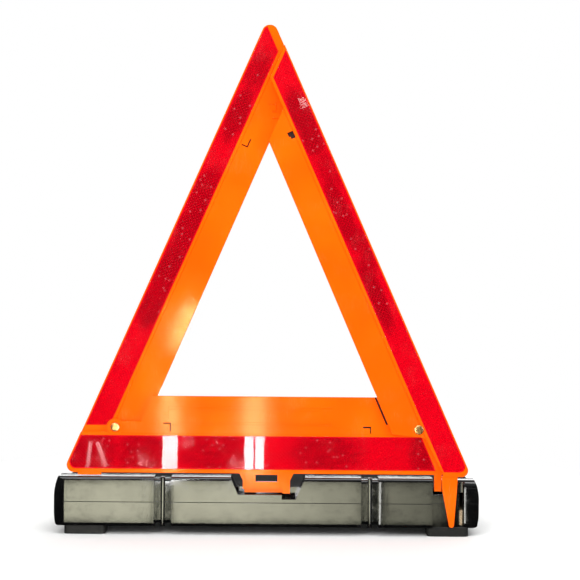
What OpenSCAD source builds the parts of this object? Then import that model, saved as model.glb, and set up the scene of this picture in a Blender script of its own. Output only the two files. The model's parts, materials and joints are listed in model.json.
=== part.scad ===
// Folding roadside warning triangle: three hinged arms with red reflector bands,
// standing on a sand-weighted base. Millimetres, +Z up, the front faces -Y, and the
// origin is on the ground under the middle of the base.

/* [Base] */
// Length of the base
base_w = 465; // [400:1:600]
// Depth of the base from front to back
base_d = 112; // [104:1:150]
// Height of the front rail above the ground
base_top = 63.3; // [54:0.1:80]
// Height of the rubber feet
foot_h = 9.4; // [6:0.1:12]
// Wall of the two base shells
shell_wall = 2.6; // [1.8:0.1:4]
// Height of the parting line above the ground
parting_z = 35.9; // [30:0.1:37]
// Radius of the upright corners of the base
corner_r = 14; // [6:0.5:20]
// Width of each waist groove around the base
waist_w = 18.5; // [10:0.5:28]
// Place of the waist grooves from the middle
waist_x = 112.3; // [90:0.5:130]
// Depth of the settled sand in each chamber
sand_depth = 16; // [8:0.5:20]

/* [Triangle] */
// Height from the bar's lower edge to the meeting point of the outer edges
tri_h = 502; // [380:1:620]
// Width of the two side arms level with the bottom bar's lower edge
arm_w = 60.5; // [52:0.5:70]
// Width of the side arms where their outer edges meet
arm_tip_w = 56; // [48:0.5:66]
// Height of the bottom bar
bar_h = 83.3; // [72:0.1:100]
// Width of the reflector bands on the side arms
band_w = 24.2; // [18:0.1:30]
// Height of the reflector band on the bottom bar
bar_band_h = 36.5; // [28:0.1:40]
// Thickness of each arm
arm_t = 4.2; // [3.6:0.1:6]
// Gap between arms that lie over each other
layer_gap = 0.4; // [0.3:0.05:1]
// Radius of the rounded tip
tip_r = 8.8; // [4:0.1:12]

/* [Pivots] */
// Radius of the rivet shanks
rivet_r = 3; // [2:0.1:4]
// Running clearance of the rivets in the side arms
rivet_clear = 0.06; // [0.02:0.01:0.09]
// Radius of the steel hinge pin
pin_r = 1.6; // [1.2:0.1:2]
// Running clearance of the hinge pin in the base
pin_clear = 0.05; // [0.02:0.01:0.09]
// Length of the hinge pin
pin_l = 48; // [40:1:56]

/* [Reflectors] */
// Thickness of the reflector plates
plate_t = 1.3; // [0.8:0.1:1.6]
// Gap around each reflector plate in its pocket
plate_gap = 0.15; // [0.1:0.05:0.4]

/* [Hidden] */
$fn = 64;

// Colours
black = [0.03, 0.03, 0.035];
orange = [1, 0.38, 0.02];
red = [0.85, 0.02, 0.08];
steel = [0.72, 0.72, 0.74];
sand = [0.72, 0.62, 0.42];

// Depth places: the right arm lies in front, then the bar, then the left arm
front_y = -base_d / 2;
face_inset = 0.4;
right_y = front_y + face_inset;
bar_y = right_y + arm_t + layer_gap;
left_y = bar_y + arm_t + layer_gap;
hinge_back = 0.2;
hinge_y = left_y + arm_t + hinge_back;

// Height places
hinge_drop = 10.8;
hinge_z = base_top - hinge_drop;
deck_drop = 13.3;
deck_z = base_top - deck_drop;
bar_lift = 3.7;
bar_z = base_top + bar_lift;
bar_top = bar_z + bar_h;
apex_z = bar_z + tri_h;

// The triangle's outline
tri_inset = 11;
half_w = base_w / 2 - tri_inset;
slope = atan(tri_h / half_w);
tip_z = apex_z - tip_r / cos(slope);
rim = 1.3;
band_rim = 3;
panel_v = rim + band_w + band_rim;
panel_cut = 0.8;
web_t = panel_cut + 0.7;
seam_v = panel_v + 1.2;
plate_seam_v = seam_v + 3.3;
cap_w = 8.6;
seam_lap = 0.5;

// The pivots, each a set distance inside its arm's reflector band
pivot_gap = 6.41;
pivot_up = 49;
pivot_z = bar_z + pivot_up;
pivot_x = edge_x(pivot_z, rim + band_w + pivot_gap);
boss_r = 9.5;
head_r = 5;
head_t = 1.1;
sink_t = 1.2;
head_gap = 0.12;
seat_cut = panel_cut - 0.05;

// The bar: a full-width lower part, and a narrower panel above it
bar_rim = 4;
band_bottom = bar_z + bar_rim;
band_top = band_bottom + bar_band_h;
ledge_z = band_top + 3.7;
step_z = pivot_z + 6.7;
mark_x = pivot_x - 53;
underlap = 5;
bar_end_in = 26.5;
bar_end_run = 17;

// The stop tab, the rest pad and the spike
tab_in = 39.1;
tab_w = 7.8;
tab_drop = 14.3;
pad_in = 16.5;
pad_w = 25;
pad_gap = 1.1;
spike_in = 22.8;
spike_w = 17;
spike_shoulder = 13.1;
spike_tip_z = 10.5;
spike_tip_r = 2.8;
spike_lean = 2.1;

// The base: rail, recess for the spike, and waists
rail_d = 20;
end_bulge_r = 75;
edge_r = 4;
recess_in = 41.1;
recess_gap = 0.4;
recess_t = face_inset + arm_t + recess_gap;
recess_drop = 2.4;
turn_gap = 0.5;
pocket_w = 10.8;
pocket_drop = 18;
groove_w = 4;
groove_in = 9.5;
waist_t = 4.5;
waist_top_t = 2.6;
rib_r = 2.4;
rib_sunk = 3.5;
line_t = 0.5;
line_h = 0.3;

// The hinge clip on the bar and the notch in the base that takes it
clip_half = 25.6;
clip_flare = 4;
clip_bar_z = hinge_z + 5.1;
clip_lip_z = hinge_z - 6.5;
clip_foot_z = hinge_z - 7.1;
clip_foot_w = 8;
clip_window = 24;
knuckle_r = 4.2;
knuckle_w = 10;
boss_half = 11;
pin_boss_r = 4.5;
notch_floor = hinge_z - 7.8;
notch_step = hinge_z - 12.6;

// The feet and the chambers
foot_w = 45;
foot_d = 22;
foot_in = 12.5;
foot_seat = 1;
foot_gap = 0.15;
chamber_gap = 3.4;
plug_r = 9;
plug_neck_r = 6;
plug_head_t = 1.2;
plug_bead = 0.5;
plug_in = 2.6;

// x of the right outer edge, moved in by d, at height z
function edge_x(z, d = 0) = (apex_z - z) / tan(slope) - d / sin(slope);

// A 2D drawing in x and z, made a plate that starts at depth y
module plate(y, t) {
    translate([0, y + t, 0]) rotate([90, 0, 0]) linear_extrude(t) children();
}

// A bar along X with the 2D drawing given in y and z
module run_x(x, l) {
    translate([x, 0, 0]) rotate([90, 0, 90]) linear_extrude(l) children();
}

module mirror_x() {
    mirror([1, 0]) children();
}

// A strip beside the right outer edge, from d0 to d1 inward of it
module right_strip(d0, d1) {
    low = base_top - 30;
    high = apex_z + 60;
    polygon([[edge_x(low, d1), low], [edge_x(low, d0), low],
        [edge_x(high, d0), high], [edge_x(high, d1), high]]);
}

module left_strip(d0, d1) {
    mirror_x() right_strip(d0, d1);
}

// x of the right arm's inner edge at height z, moved in by d
function inner_x(z, d = 0) =
    edge_x(z, arm_w - (arm_w - arm_tip_w) * (z - bar_z) / tri_h + d);

// The right arm's width, which narrows a little upwards, and d more
module right_side(d = 0) {
    low = base_top - 30;
    high = apex_z + 60;
    polygon([[inner_x(low, d), low], [edge_x(low, -base_w), low],
        [edge_x(high, -base_w), high], [inner_x(high, d), high]]);
}

// The whole triangle's outline, moved in by d, with the rounded tip
module outline(d = 0) {
    low = bar_z - 10;
    touch_z = tip_z + (tip_r - d) * cos(slope);
    touch_x = (tip_r - d) * sin(slope);
    union() {
        polygon([[-edge_x(low, d), low], [edge_x(low, d), low],
            [touch_x, touch_z], [-touch_x, touch_z]]);
        translate([0, tip_z]) circle(tip_r - d);
    }
}

module above(z) {
    translate([-base_w, z]) square([2 * base_w, 2 * tri_h]);
}

// What a rounded corner of radius r takes off, where the right edge meets level z
module corner_waste(z, r, d = 0) {
    mid_z = z + r;
    mid_x = edge_x(mid_z, d) - r / sin(slope);
    out = r + 1;
    difference() {
        polygon([[mid_x, mid_z], [mid_x, z - 1], [edge_x(z, d) + 4, z - 1],
            [mid_x + out * sin(slope), mid_z + out * cos(slope)]]);
        translate([mid_x, mid_z]) circle(r);
    }
}

module boss_disc(x) {
    translate([x, pivot_z]) circle(boss_r);
}

// Rivet hole along Y through a plate that starts at y
module rivet_hole(x, y, r) {
    translate([x, y + arm_t + 1, pivot_z]) rotate([90, 0, 0]) cylinder(r = r, h = arm_t + 2);
}

// Shallow seat for a rivet's outer head, from y frontwards
module head_seat(x, y) {
    translate([x, y, pivot_z]) rotate([90, 0, 0]) cylinder(r = head_r + 0.4, h = seat_cut + 1);
}

// ---- base -------------------------------------------------------------------

module rounded_square(w, h, r) {
    union() {
        translate([-w / 2 + r, -h / 2]) square([w - 2 * r, h]);
        translate([-w / 2, -h / 2 + r]) square([w, h - 2 * r]);
        for (sx = [-1, 1], sy = [-1, 1])
            translate([sx * (w / 2 - r), sy * (h / 2 - r)]) circle(r);
    }
}

// Front view of the base: rounded corners and gently bulging ends
module base_front_view() {
    h = base_top - foot_h;
    mid = base_w / 2 - end_bulge_r;
    intersection() {
        translate([0, foot_h + h / 2]) rounded_square(base_w, h, 2 * edge_r);
        union() {
            translate([-mid, 0]) square([2 * mid, base_top + 1]);
            for (sx = [-1, 1])
                translate([sx * mid, foot_h + h * 0.42]) circle(end_bulge_r);
        }
    }
}

// End view of the base, moved in by d at front and back and by e at top and bottom
module base_end_view(d = 0, e = 0) {
    h = base_top - foot_h - 2 * e;
    translate([0, (base_top + foot_h) / 2]) rounded_square(base_d - 2 * d, h, edge_r);
}

module base_block() {
    intersection() {
        plate(front_y - 1, base_d + 2) base_front_view();
        run_x(-base_w, 2 * base_w) base_end_view();
        linear_extrude(base_top + 1) rounded_square(base_w, base_d, corner_r);
    }
}

// Everything cut from the outside of the base
module base_cuts() {
    over = 20;
    // rear deck, on which the folded arms lie
    translate([-base_w, front_y + rail_d, deck_z]) cube([2 * base_w, base_d, over]);
    // recess at the right end for the spike, its lowered rail and the tab's pocket
    translate([half_w - recess_in, front_y - 1, 0]) cube([base_w, recess_t + 1, base_top + 1]);
    translate([half_w - recess_in, front_y - 1, base_top - recess_drop])
        cube([base_w, rail_d + 2, over]);
    translate([half_w - recess_in, front_y - 1, base_top - pocket_drop])
        cube([pocket_w, rail_d + 2, over + pocket_drop]);
    // its edge rounded about the hinge, so that the right arm turns clear of it
    difference() {
        translate([half_w - recess_in + pocket_w - 1, front_y - 1, hinge_z])
            cube([base_w, hinge_y - front_y + 1, over]);
        translate([0, hinge_y, hinge_z]) rotate([0, 90, 0])
            cylinder(r = hinge_y - right_y - arm_t - turn_gap, h = base_w);
    }
    // upright groove beside the spike
    translate([half_w - groove_in, front_y + recess_t, 0])
        cylinder(r = groove_w / 2 + 1, h = base_top + 1);
    // notch for the hinge clip
    plate(front_y - 1, rail_d + 1) notch_outline();
    // waists
    for (s = [-1, 1]) translate([s * waist_x, 0, 0]) waist_cut();
}

module notch_outline() {
    up = base_top + 8;
    lean = 0.44;
    left = clip_half + 5;
    right = clip_half + 8.2;
    rise = up - notch_floor;
    polygon([[-left - lean * rise, up], [-left, notch_floor],
        [clip_half - clip_foot_w - 0.6, notch_floor],
        [clip_half - clip_foot_w - 0.6, notch_step],
        [right - 2, notch_step], [right, notch_floor], [right + lean * rise, up]]);
}

module waist_cut() {
    difference() {
        translate([-waist_w / 2, front_y - 1, 0]) cube([waist_w, base_d + 2, base_top + 1]);
        run_x(-waist_w, 2 * waist_w) base_end_view(waist_t, waist_top_t);
        for (s = [-1, 1]) translate([0, s * (base_d / 2 - rib_sunk), 0])
            cylinder(r = rib_r, h = base_top + 1);
    }
}

// The fine line moulded where the two shells meet
module parting_line() {
    difference() {
        translate([-base_w, -base_d, parting_z - line_h / 2])
            cube([2 * base_w, 2 * base_d, line_h]);
        translate([0, 0, parting_z - line_h]) linear_extrude(2 * line_h)
            rounded_square(base_w - 2 * line_t, base_d - 2 * line_t, corner_r - line_t);
    }
}

// The three sand chambers, as x ranges
chamber_x = [
    [-base_w / 2 + corner_r / 2 + shell_wall, -waist_x - waist_w / 2 - chamber_gap],
    [-waist_x + waist_w / 2 + chamber_gap, waist_x - waist_w / 2 - chamber_gap],
    [waist_x + waist_w / 2 + chamber_gap, base_w / 2 - corner_r / 2 - shell_wall]];
chamber_front = front_y + recess_t + shell_wall;
chamber_back = base_d / 2 - shell_wall;
chamber_floor = foot_h + shell_wall;

module chamber(i, z0, z1) {
    x = chamber_x[i];
    translate([x[0], chamber_front, z0])
        cube([x[1] - x[0], chamber_back - chamber_front, z1 - z0]);
}

// Hollows in the front rail, clear of the notch, the waists and the recess
module rail_hollows() {
    top = base_top - recess_drop - shell_wall;
    y = chamber_front;
    d = rail_d - recess_t - 2 * shell_wall;
    notch_x = clip_half + 24;
    far = half_w - recess_in - shell_wall;
    spans = [[chamber_x[0][0] + 4, chamber_x[0][1]], [chamber_x[1][0], -notch_x],
        [notch_x, chamber_x[1][1]], [chamber_x[2][0], far]];
    for (s = spans) translate([s[0], y, parting_z]) cube([s[1] - s[0], d, top - parting_z]);
}

module foot_seats(gap) {
    for (sx = [-1, 1], sy = [-1, 1]) foot_block(sx, sy, gap);
}

module foot_block(sx, sy, gap) {
    x = sx * (base_w / 2 - foot_in - foot_w / 2);
    y = sy * (base_d / 2 - foot_d / 2 - 4);
    translate([x, y, 0]) linear_extrude(foot_h + foot_seat)
        rounded_square(foot_w + 2 * gap, foot_d + 2 * gap, 5 + gap);
}

// Along the plug's axis, from the base's back face inward
module at_plug() {
    translate([0, base_d / 2, (foot_h + parting_z) / 2]) rotate([90, 0, 0]) children();
}

module plug_hole() {
    at_plug() translate([0, 0, -1]) cylinder(r = plug_r + 0.2, h = plug_head_t + 1);
    at_plug() cylinder(r = plug_neck_r, h = shell_wall + 1);
}

module base_upper_shell() {
    color(black) union() {
        difference() {
            base_block();
            base_cuts();
            parting_line();
            translate([-base_w, -base_d, -1]) cube([2 * base_w, 2 * base_d, parting_z + 1]);
            for (i = [0, 2]) chamber(i, parting_z - 1, deck_z - shell_wall);
            // the middle chamber stops behind the notch
            difference() {
                chamber(1, parting_z - 1, deck_z - shell_wall);
                translate([-clip_half - 24, front_y, 0])
                    cube([2 * clip_half + 48, rail_d + shell_wall, base_top]);
            }
            rail_hollows();
        }
        pin_boss();
        deck_ribs();
    }
}

// Low ribs across the deck, on which the folded arms rest
module deck_ribs() {
    rib_w = 3;
    for (x = [-1.6, -0.6, 0.6, 1.6])
        translate([x * waist_x - rib_w / 2, front_y + rail_d + 4, deck_z - 0.5])
            cube([rib_w, base_d - rail_d - 12, deck_drop - hinge_drop - 0.3 + 0.5]);
}

// The block in the notch that carries the hinge pin
module pin_boss() {
    difference() {
        union() {
            translate([-boss_half, hinge_y, hinge_z]) rotate([0, 90, 0])
                cylinder(r = pin_boss_r, h = 2 * boss_half);
            translate([-boss_half, hinge_y - pin_boss_r, notch_floor - 0.5])
                cube([2 * boss_half, 2 * pin_boss_r, hinge_z - notch_floor + 0.5]);
        }
        translate([-boss_half - 1, hinge_y, hinge_z]) rotate([0, 90, 0])
            cylinder(r = pin_r + pin_clear, h = 2 * boss_half + 2);
    }
}

module base_lower_shell() {
    color(black) difference() {
        base_block();
        base_cuts();
        parting_line();
        translate([-base_w, -base_d, parting_z]) cube([2 * base_w, 2 * base_d, base_top]);
        for (i = [0, 1, 2]) chamber(i, chamber_floor, parting_z + 1);
        foot_seats(foot_gap);
        plug_hole();
    }
}

module sand_fill(i) {
    color(sand) difference() {
        chamber(i, chamber_floor, chamber_floor + sand_depth);
        at_plug() cylinder(r = plug_neck_r + plug_bead + 0.3, h = shell_wall + plug_in + 0.3);
    }
}

module sand_left() { sand_fill(0); }
module sand_centre() { sand_fill(1); }
module sand_right() { sand_fill(2); }

// Push-in plug at the back, with a flush flange outside and a bead inside the wall
module filler_plug() {
    color(black) at_plug() rotate_extrude() polygon([[0, 0], [plug_r, 0],
        [plug_r, plug_head_t], [plug_neck_r, plug_head_t], [plug_neck_r, shell_wall],
        [plug_neck_r + plug_bead, shell_wall + 0.5], [plug_neck_r - 1, shell_wall + plug_in],
        [0, shell_wall + plug_in]]);
}

module foot(sx, sy) {
    color([0.06, 0.06, 0.06]) foot_block(sx, sy, 0);
}

module foot_front_left() { foot(-1, -1); }
module foot_front_right() { foot(1, -1); }
module foot_rear_left() { foot(-1, 1); }
module foot_rear_right() { foot(1, 1); }

module hinge_pin() {
    color(steel) translate([-pin_l / 2, hinge_y, hinge_z]) rotate([0, 90, 0])
        cylinder(r = pin_r, h = pin_l);
}

// ---- bottom bar -------------------------------------------------------------

module bar_outline() {
    end_x = half_w - bar_end_in;
    heel = pivot_z + 3.9;
    difference() {
        union() {
            polygon([[-edge_x(bar_z), bar_z], [end_x, bar_z],
                [end_x - bar_end_run, ledge_z], [pivot_x, heel],
                [inner_x(heel, -underlap), heel], [inner_x(bar_top, -underlap), bar_top],
                [-inner_x(bar_top, -underlap), bar_top],
                [-inner_x(step_z, -underlap), step_z], [-pivot_x, step_z],
                [-pivot_x - 7, ledge_z],
                [-edge_x(ledge_z), ledge_z]]);
            boss_disc(-pivot_x);
            boss_disc(pivot_x);
        }
        mirror_x() corner_waste(bar_z, 8);
    }
}

module bar_band(gap) {
    end_x = half_w - bar_end_in - 11;
    difference() {
        intersection() {
            polygon([[-base_w, band_bottom + gap], [end_x - gap, band_bottom + gap],
                [end_x - 0.42 * bar_band_h - gap, band_top - gap], [-base_w, band_top - gap]]);
            left_strip(rim + gap, base_w * 2);
        }
        mirror_x() corner_waste(band_bottom + gap, 7, rim + gap);
    }
}

module bar_panel() {
    difference() {
        translate([-base_w, band_top + 2.2]) square([2 * base_w, bar_h]);
        for (s = [-1, 1]) translate([s * pivot_x, pivot_z]) circle(boss_r - 1.2);
    }
}

// Raised lines and rings moulded on the bar's panel
module bar_marks() {
    mark_w = 0.9;
    x0 = -mark_x + 4;
    rows = [0.28, 0.36, 0.68, 0.74];
    for (k = rows)
        translate([x0, bar_top - k * (bar_top - band_top)]) square([1.6 * mark_x, mark_w]);
    for (x = [x0, x0 + 22, 0, 62])
        translate([x, bar_top - 0.28 * (bar_top - band_top) - 13.4]) square([mark_w, 14.2]);
    for (x = [-84, 0]) translate([x, bar_top - 0.86 * (bar_top - band_top)]) difference() {
        circle(3.1);
        circle(2.3);
    }
}

// L-shaped slots around the two spring tongues in the bar
module bar_slots() {
    slot_w = 1.3;
    translate([-mark_x + 6.5, band_top + 4.2]) square([slot_w, 9.6]);
    translate([-mark_x - 0.6, band_top + 12.5]) square([8, slot_w]);
    translate([104.5, band_top + 9.2]) square([9, slot_w + 0.6]);
    translate([112.2, band_top + 3.4]) square([slot_w, 7]);
}

// Narrow groove in the bar's panel beside the right arm's inner edge
module bar_groove() {
    w = 2;
    z0 = pivot_z + 4.6;
    polygon([[inner_x(z0, 0.3 + w), z0], [inner_x(z0, 0.3), z0],
        [inner_x(bar_top + 1, 0.3), bar_top + 1], [inner_x(bar_top + 1, 0.3 + w), bar_top + 1]]);
}

module clip_front() {
    difference() {
        polygon([[-clip_half - clip_flare, bar_z + 0.5], [-clip_half, bar_z - 7.5],
            [-clip_half, hinge_z - 2.2], [clip_half - clip_foot_w, hinge_z - 2.2],
            [clip_half - clip_foot_w, clip_foot_z], [clip_half, clip_foot_z],
            [clip_half, bar_z - 7.5], [clip_half + clip_flare, bar_z + 0.5]]);
        translate([-clip_window / 2, clip_bar_z]) square([clip_window, bar_z - 1.4 - clip_bar_z]);
    }
}

// The clip that hangs from the bar, with two knuckles for the hinge pin
module clip() {
    ear_x = clip_half - knuckle_w - 1.6;
    union() {
        plate(bar_y, arm_t) clip_front();
        // lower lip, set back under the cross bar
        translate([-clip_half + 1.6, bar_y + 2.2, clip_lip_z])
            cube([2 * clip_half - clip_foot_w - 1, arm_t - 2.2, hinge_z - 2 - clip_lip_z]);
        for (s = [-1, 1]) translate([s > 0 ? ear_x : -ear_x - knuckle_w, 0, 0]) {
            translate([0, bar_y + arm_t - 0.5, hinge_z - knuckle_r + 0.4])
                cube([knuckle_w, hinge_y - bar_y - arm_t + 0.5, 2 * knuckle_r - 0.8]);
            translate([0, hinge_y, hinge_z]) rotate([0, 90, 0])
                cylinder(r = knuckle_r, h = knuckle_w);
            // upright ribs on the legs
            for (x = [0.4, knuckle_w - 1.4]) translate([x, bar_y - 0.35, hinge_z - 2])
                cube([1, 0.8, bar_z - hinge_z]);
        }
    }
}

module bottom_bar() {
    color(orange) difference() {
        union() {
            difference() {
                plate(bar_y, arm_t) bar_outline();
                for (y = [bar_y - 1, bar_y + arm_t - panel_cut])
                    plate(y, panel_cut + 1) bar_panel();
                plate(bar_y - 1, plate_t + 1) bar_band(0);
                plate(bar_y + arm_t - plate_t, plate_t + 1) bar_band(0);
            }
            plate(bar_y + panel_cut - 0.35, 0.6) bar_marks();
            clip();
            // rest pad on the left and stop tab on the right
            translate([-half_w + pad_in, bar_y, base_top + pad_gap])
                cube([pad_w, arm_t, bar_lift - pad_gap + 0.5]);
            translate([half_w - tab_in, bar_y, base_top - tab_drop])
                cube([tab_w, arm_t, bar_lift + tab_drop + 0.5]);
        }
        plate(bar_y - 1, arm_t - web_t + 1) bar_slots();
        plate(bar_y - 1, arm_t - web_t + 1) bar_groove();
        for (s = [-1, 1]) rivet_hole(s * pivot_x, bar_y, rivet_r);
        // sinks for the rivet heads that other arms pass over
        translate([-pivot_x, bar_y + sink_t, pivot_z]) rotate([90, 0, 0])
            cylinder(r = head_r + 0.4, h = sink_t + 1);
        translate([pivot_x, bar_y + arm_t + 1, pivot_z]) rotate([90, 0, 0])
            cylinder(r = head_r + 0.4, h = sink_t + 1);
        translate([-pin_l / 2, hinge_y, hinge_z]) rotate([0, 90, 0])
            cylinder(r = pin_r, h = pin_l);
    }
}

module bottom_front_reflector() {
    color(red) plate(bar_y, plate_t) bar_band(plate_gap);
}

module bottom_rear_reflector() {
    color(red) plate(bar_y + arm_t - plate_t, plate_t) bar_band(plate_gap);
}

// A rivet along Y: its head's flat underside is at y, its tail's at y + grip
module rivet(x, y, grip, front_t, rear_t) {
    color(steel) translate([x, y, pivot_z]) rotate([-90, 0, 0]) rotate_extrude()
        polygon([[0, -front_t], [head_r * 0.55, -front_t], [head_r * 0.86, -front_t * 0.62],
            [head_r, -front_t * 0.2], [head_r, 0], [rivet_r, 0], [rivet_r, grip],
            [head_r, grip], [head_r, grip + rear_t * 0.2], [head_r * 0.8, grip + rear_t * 0.7],
            [head_r * 0.5, grip + rear_t], [0, grip + rear_t]]);
}

// Through the bar and the left arm: the front head lies sunk in the bar
module left_rivet() {
    y = bar_y + sink_t;
    rivet(-pivot_x, y, left_y + arm_t - panel_cut + head_gap - y, sink_t + 0.1, head_t - 0.2);
}

// Through the right arm and the bar: the rear head lies sunk in the bar
module right_rivet() {
    y = right_y + panel_cut - head_gap;
    rivet(pivot_x, y, bar_y + arm_t - sink_t - y, head_t - 0.1, sink_t);
}

// ---- left arm ---------------------------------------------------------------

module left_outline() {
    intersection() {
        outline();
        mirror_x() right_side();
        union() {
            above(pivot_z - 7.5);
            boss_disc(-pivot_x);
        }
    }
}

module left_band(gap) {
    intersection() {
        outline(rim + gap);
        left_strip(rim + gap, rim + band_w - gap);
        right_strip(cap_w + gap, base_w * 2);
        above(pivot_z + 1.8 + gap);
    }
}

module side_panel() {
    right_strip(panel_v, arm_w + 5);
}

// Latch marks near the tip of the left arm
module latch_marks() {
    translate([-1.5, apex_z - 99.6]) square([8.8, 1.6]);
    translate([3, apex_z - 107]) square([4.4, 6.4]);
    translate([3, apex_z - 115]) square([8.8, 5.6]);
}

module left_slot() {
    at_z = apex_z - 150;
    run = -edge_x(at_z, panel_v + 1);
    translate([run, at_z]) rotate(slope) {
        translate([6.6, -8.4]) square([1.3, 7.4]);
        translate([6.6, -8.4]) square([10, 1.3]);
    }
}

module left_arm() {
    color(orange) difference() {
        union() {
            difference() {
                plate(left_y, arm_t) left_outline();
                for (y = [left_y - 1, left_y + arm_t - panel_cut])
                    plate(y, panel_cut + 1) mirror_x() side_panel();
                plate(left_y - 1, plate_t + 1) left_band(0);
                plate(left_y + arm_t - plate_t, plate_t + 1) left_band(0);
            }
            plate(left_y + 0.1, panel_cut) latch_marks();
            apex_stop();
        }
        plate(left_y - 1, arm_t - web_t + 1) left_slot();
        rivet_hole(-pivot_x, left_y, rivet_r + rivet_clear);
        head_seat(-pivot_x, left_y + arm_t + 1);
    }
}

// Round stop on the left arm that bears on the back of the right arm's end
module apex_stop() {
    z = apex_z - 88;
    x = edge_x(z, 14);
    translate([x, left_y + 1.5, z]) rotate([90, 0, 0])
        cylinder(r = 5.5, h = arm_t + 2 * layer_gap + 1.5 - layer_gap);
}

module left_front_reflector() {
    color(red) plate(left_y, plate_t) left_band(plate_gap);
}

module left_rear_reflector() {
    color(red) plate(left_y + arm_t - plate_t, plate_t) left_band(plate_gap);
}

// ---- right arm --------------------------------------------------------------

// The lower end: a slanting heel beside the bar's reflector
module right_keep() {
    heel_x = half_w - 30.2;
    low = bar_z - 1.5;
    polygon([[-base_w, pivot_z - 2], [pivot_x - 26, pivot_z - 5.3],
        [pivot_x + 2.3, pivot_z - 8], [pivot_x + 6.7, pivot_z - 9.6],
        [heel_x, bar_z + 2.3], [heel_x, low], [base_w, low], [base_w, apex_z + 20],
        [-base_w, apex_z + 20]]);
}

module spike_outline() {
    x = half_w - spike_in;
    top = bar_z - 1;
    tip = [x + spike_lean, spike_tip_z + spike_tip_r];
    union() {
        polygon([[x - spike_w / 2, top], [x - spike_w / 2 + 0.6, base_top - spike_shoulder],
            [tip[0] - spike_tip_r, tip[1] + 0.6], [tip[0] + spike_tip_r, tip[1] + 0.6],
            [x + spike_w / 2 - 0.8, base_top - spike_shoulder], [x + spike_w / 2, top]]);
        translate(tip) circle(spike_tip_r);
    }
}

module right_outline() {
    difference() {
        intersection() {
            outline();
            right_side();
            right_keep();
        }
        left_strip(-base_w, seam_v);
        intersection() {
            mirror_x() right_side(-seam_lap);
            right_strip(panel_v, base_w * 2);
        }
        corner_waste(bar_z - 1.5, 7);
    }
}

module right_band(gap) {
    difference() {
        intersection() {
            outline(rim + gap);
            right_strip(rim + gap, rim + band_w - gap);
            left_strip(plate_seam_v + gap, base_w * 2);
            above(bar_z + 3.4 + gap);
        }
        corner_waste(bar_z + 3.4 + gap, 6, rim + gap);
    }
}

module right_slot() {
    at_z = apex_z - 137;
    translate([edge_x(at_z, panel_v + 0.4), at_z]) rotate(180 - slope) {
        square([8, 5]);
        translate([3, 5]) square([5, 1.6]);
    }
}

module right_arm() {
    ridge_w = 1.2;
    color(orange) difference() {
        union() {
            difference() {
                plate(right_y, arm_t) right_outline();
                for (y = [right_y - 1, right_y + arm_t - panel_cut])
                    plate(y, panel_cut + 1) side_panel();
                plate(right_y - 1, plate_t + 1) right_band(0);
                plate(right_y + arm_t - plate_t, plate_t + 1) right_band(0);
            }
            plate(right_y + 0.4, arm_t - 0.4) spike_outline();
            // ridge down the middle of the spike
            translate([half_w - spike_in - ridge_w / 2 + 0.4, right_y, base_top - 34])
                cube([ridge_w, 1, 35]);
        }
        plate(right_y - 1, arm_t - web_t + 1) right_slot();
        rivet_hole(pivot_x, right_y, rivet_r + rivet_clear);
        head_seat(pivot_x, right_y + seat_cut);
    }
}

module right_front_reflector() {
    color(red) plate(right_y, plate_t) right_band(plate_gap);
}

module right_rear_reflector() {
    color(red) plate(right_y + arm_t - plate_t, plate_t) right_band(plate_gap);
}

base_upper_shell();
base_lower_shell();
sand_left();
sand_centre();
sand_right();
filler_plug();
foot_front_left();
foot_front_right();
foot_rear_left();
foot_rear_right();
hinge_pin();
bottom_bar();
bottom_front_reflector();
bottom_rear_reflector();
left_rivet();
right_rivet();
left_arm();
left_front_reflector();
left_rear_reflector();
right_arm();
right_front_reflector();
right_rear_reflector();
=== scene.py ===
"""Looks of the folding roadside warning triangle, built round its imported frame."""

import json
import math

import bmesh
import bpy
from mathutils import Matrix, Vector, noise

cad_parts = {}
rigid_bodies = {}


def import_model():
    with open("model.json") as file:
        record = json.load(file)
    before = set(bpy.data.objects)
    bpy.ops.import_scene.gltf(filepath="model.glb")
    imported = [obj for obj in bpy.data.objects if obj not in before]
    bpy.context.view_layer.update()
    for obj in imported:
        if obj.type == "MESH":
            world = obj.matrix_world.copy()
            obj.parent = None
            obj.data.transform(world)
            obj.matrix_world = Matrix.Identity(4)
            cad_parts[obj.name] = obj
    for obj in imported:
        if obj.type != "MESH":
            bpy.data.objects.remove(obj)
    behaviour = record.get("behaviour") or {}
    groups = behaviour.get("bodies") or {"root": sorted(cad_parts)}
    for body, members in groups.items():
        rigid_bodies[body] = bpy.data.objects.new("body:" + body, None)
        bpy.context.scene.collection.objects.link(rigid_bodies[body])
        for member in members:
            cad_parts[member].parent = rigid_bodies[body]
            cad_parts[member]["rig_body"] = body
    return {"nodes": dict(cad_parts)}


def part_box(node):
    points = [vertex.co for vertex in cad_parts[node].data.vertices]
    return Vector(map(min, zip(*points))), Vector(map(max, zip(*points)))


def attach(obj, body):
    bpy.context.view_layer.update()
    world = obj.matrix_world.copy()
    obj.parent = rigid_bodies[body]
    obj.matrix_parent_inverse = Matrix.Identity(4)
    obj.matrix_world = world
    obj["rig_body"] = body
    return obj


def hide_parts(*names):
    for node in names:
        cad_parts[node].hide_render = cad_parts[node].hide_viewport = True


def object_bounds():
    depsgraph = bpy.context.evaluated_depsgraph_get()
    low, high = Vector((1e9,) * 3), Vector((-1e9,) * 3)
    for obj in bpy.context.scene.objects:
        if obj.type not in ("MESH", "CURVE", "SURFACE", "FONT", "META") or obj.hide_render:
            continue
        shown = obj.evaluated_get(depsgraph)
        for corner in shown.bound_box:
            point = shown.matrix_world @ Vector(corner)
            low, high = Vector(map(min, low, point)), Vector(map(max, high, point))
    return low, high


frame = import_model()
cad_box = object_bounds()
nodes = frame["nodes"]

MM = 0.001
FRONT = -1  # the side that faces -Y
REAR = 1

# ---- measures ---------------------------------------------------------------

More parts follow.
